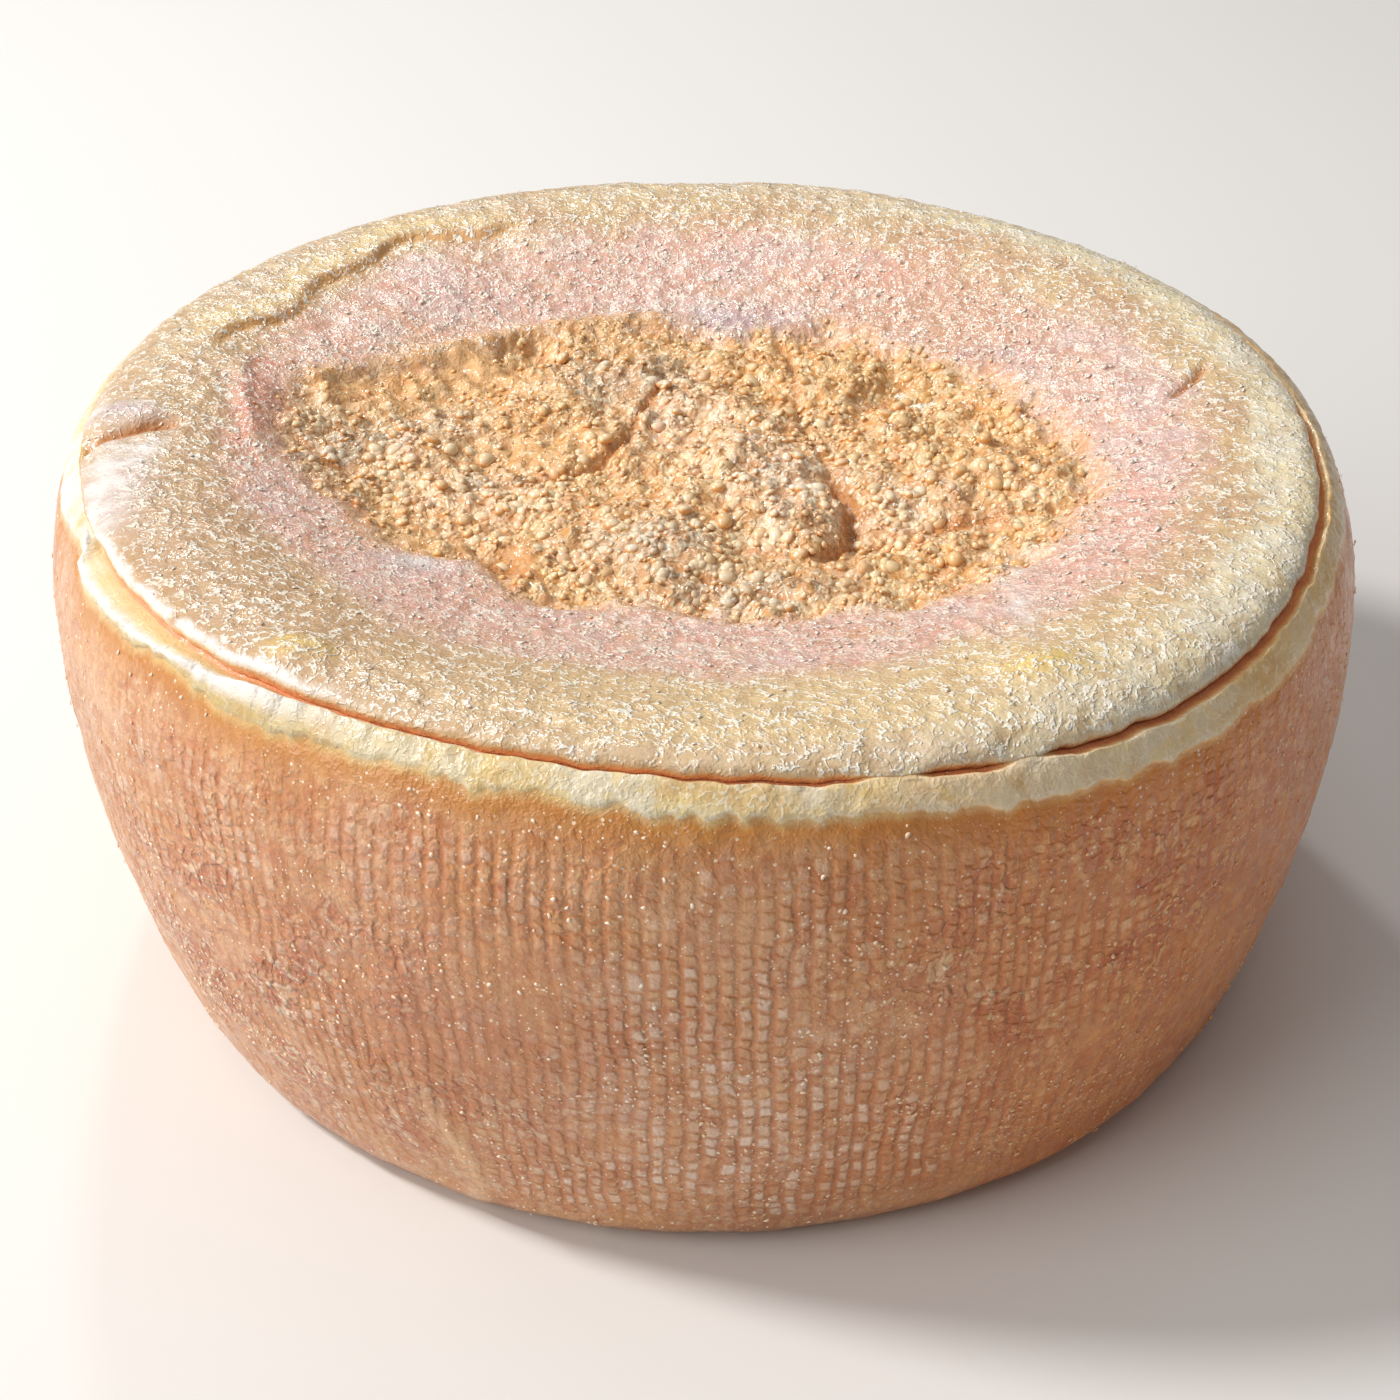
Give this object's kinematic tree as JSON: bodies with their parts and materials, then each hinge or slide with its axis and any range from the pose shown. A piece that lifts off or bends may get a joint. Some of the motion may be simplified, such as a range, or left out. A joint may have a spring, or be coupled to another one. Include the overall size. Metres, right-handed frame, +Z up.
{
  "type": "cheese wheel",
  "caption": "Small round washed-rind cheese wheel with drawn-in sides, a cracked shoulder and a sunken, lumpy top.",
  "frame": {"origin": "centre of the wheel's extents on the plane of its flat base", "axes": "+Z up out of the sunken top, -Y towards the front, where the crack below the rim shows best, +X to the right"},
  "size_m": [0.1396, 0.139, 0.0613],
  "materials": {
    "rind": "slightly greasy orange-tan washed rind, printed by coarse cloth on the side, pink and cream on top"
  },
  "bodies": {
    "root": {"cheese_wheel": "rind"}
  },
  "joints": []
}
